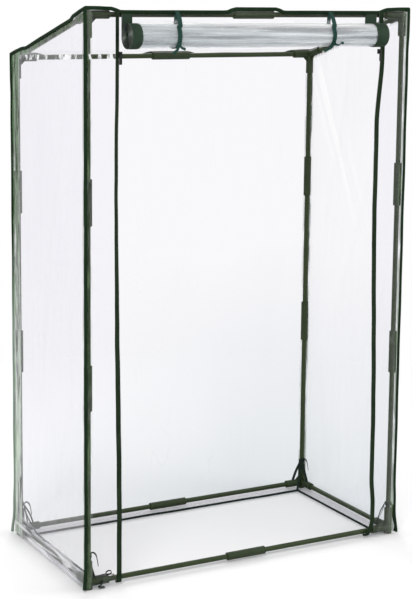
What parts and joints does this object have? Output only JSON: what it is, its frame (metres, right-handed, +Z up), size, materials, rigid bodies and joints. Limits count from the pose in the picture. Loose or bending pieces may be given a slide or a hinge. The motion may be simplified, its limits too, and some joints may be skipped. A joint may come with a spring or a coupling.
{
  "type": "tomato greenhouse",
  "caption": "Free-standing tomato greenhouse: push-fit tube frame under a clear film cover, lean-to roof, roll-up door between two zips.",
  "frame": {"origin": "on the floor under the middle of the bounding box, the rolled door included", "axes": "+Z up, the door faces -Y, +X to the right seen from the door"},
  "size_m": [0.991, 0.5642, 1.5172],
  "materials": {
    "tube": "green plastic-coated steel tube, satin",
    "connector": "moulded plastic, matt dark green",
    "film": "clear film, glossy, slightly wrinkled",
    "binding": "woven binding tape, dark green",
    "zip_tape": "woven zip tape, dark green",
    "zip_slider": "painted zip slider, near black",
    "ribbon": "woven ribbon, dark teal green"
  },
  "bodies": {
    "frame_and_cover": {"post_front_left_lower": "tube", "post_front_left_middle": "tube", "post_front_left_upper": "tube", "post_front_right_lower": "tube", "post_front_right_middle": "tube", "post_front_right_upper": "tube", "post_back_left_lower": "tube", "post_back_left_middle": "tube", "post_back_left_upper": "tube", "post_back_right_lower": "tube", "post_back_right_middle": "tube", "post_back_right_upper": "tube", "rail_front_bottom_left": "tube", "rail_front_bottom_right": "tube", "rail_front_top_left": "tube", "rail_front_top_right": "tube", "rail_back_bottom_left": "tube", "rail_back_bottom_right": "tube", "rail_back_top_left": "tube", "rail_back_top_right": "tube", "rail_side_bottom_left": "tube", "rail_side_bottom_right": "tube", "rafter_left": "tube", "rafter_right": "tube", "sleeve_post_front_left_lower": "connector", "sleeve_post_front_left_upper": "connector", "sleeve_post_front_right_lower": "connector", "sleeve_post_front_right_upper": "connector", "sleeve_post_back_left_lower": "connector", "sleeve_post_back_left_upper": "connector", "sleeve_post_back_right_lower": "connector", "sleeve_post_back_right_upper": "connector", "sleeve_rail_front_bottom": "connector", "sleeve_rail_front_top": "connector", "sleeve_rail_back_bottom": "connector", "sleeve_rail_back_top": "connector", "corner_front_bottom_left": "connector", "corner_front_bottom_right": "connector", "corner_front_top_left": "connector", "corner_front_top_right": "connector", "corner_back_bottom_left": "connector", "corner_back_bottom_right": "connector", "corner_back_top_left": "connector", "corner_back_top_right": "connector", "cover_back": "film", "cover_left": "film", "cover_right": "film", "cover_roof": "film", "cover_front_strip_left": "film", "cover_front_strip_right": "film", "edge_binding": "binding", "zip_tape_left": "zip_tape", "zip_tape_right": "zip_tape"},
    "rolled_door": {"door_roll": "film", "door_tie_left": "ribbon", "door_tie_right": "ribbon"},
    "slider_left": {"zip_slider_left": "zip_slider"},
    "pull_left": {"zip_pull_left": "zip_slider"},
    "slider_right": {"zip_slider_right": "zip_slider"},
    "pull_right": {"zip_pull_right": "zip_slider"}
  },
  "joints": [
    {"name": "door_swing", "type": "hinge", "parent": "frame_and_cover", "child": "rolled_door", "pos_m": [0, -0.2184, 1.5097], "axis": [-1, 0, 0], "range_deg": [0, 35]},
    {"name": "zip_slide_left", "type": "slide", "parent": "frame_and_cover", "child": "slider_left", "axis": [0, 0, -1], "range_m": [-0.09, 1.364]},
    {"name": "pull_hinge_left", "type": "hinge", "parent": "slider_left", "child": "pull_left", "pos_m": [-0.3952, -0.2245, 1.395], "axis": [-1, 0, 0], "range_deg": [0, 150]},
    {"name": "zip_slide_right", "type": "slide", "parent": "frame_and_cover", "child": "slider_right", "axis": [0, 0, -1], "range_m": [-0.09, 1.364]},
    {"name": "pull_hinge_right", "type": "hinge", "parent": "slider_right", "child": "pull_right", "pos_m": [0.3952, -0.2245, 1.395], "axis": [-1, 0, 0], "range_deg": [0, 150]}
  ]
}
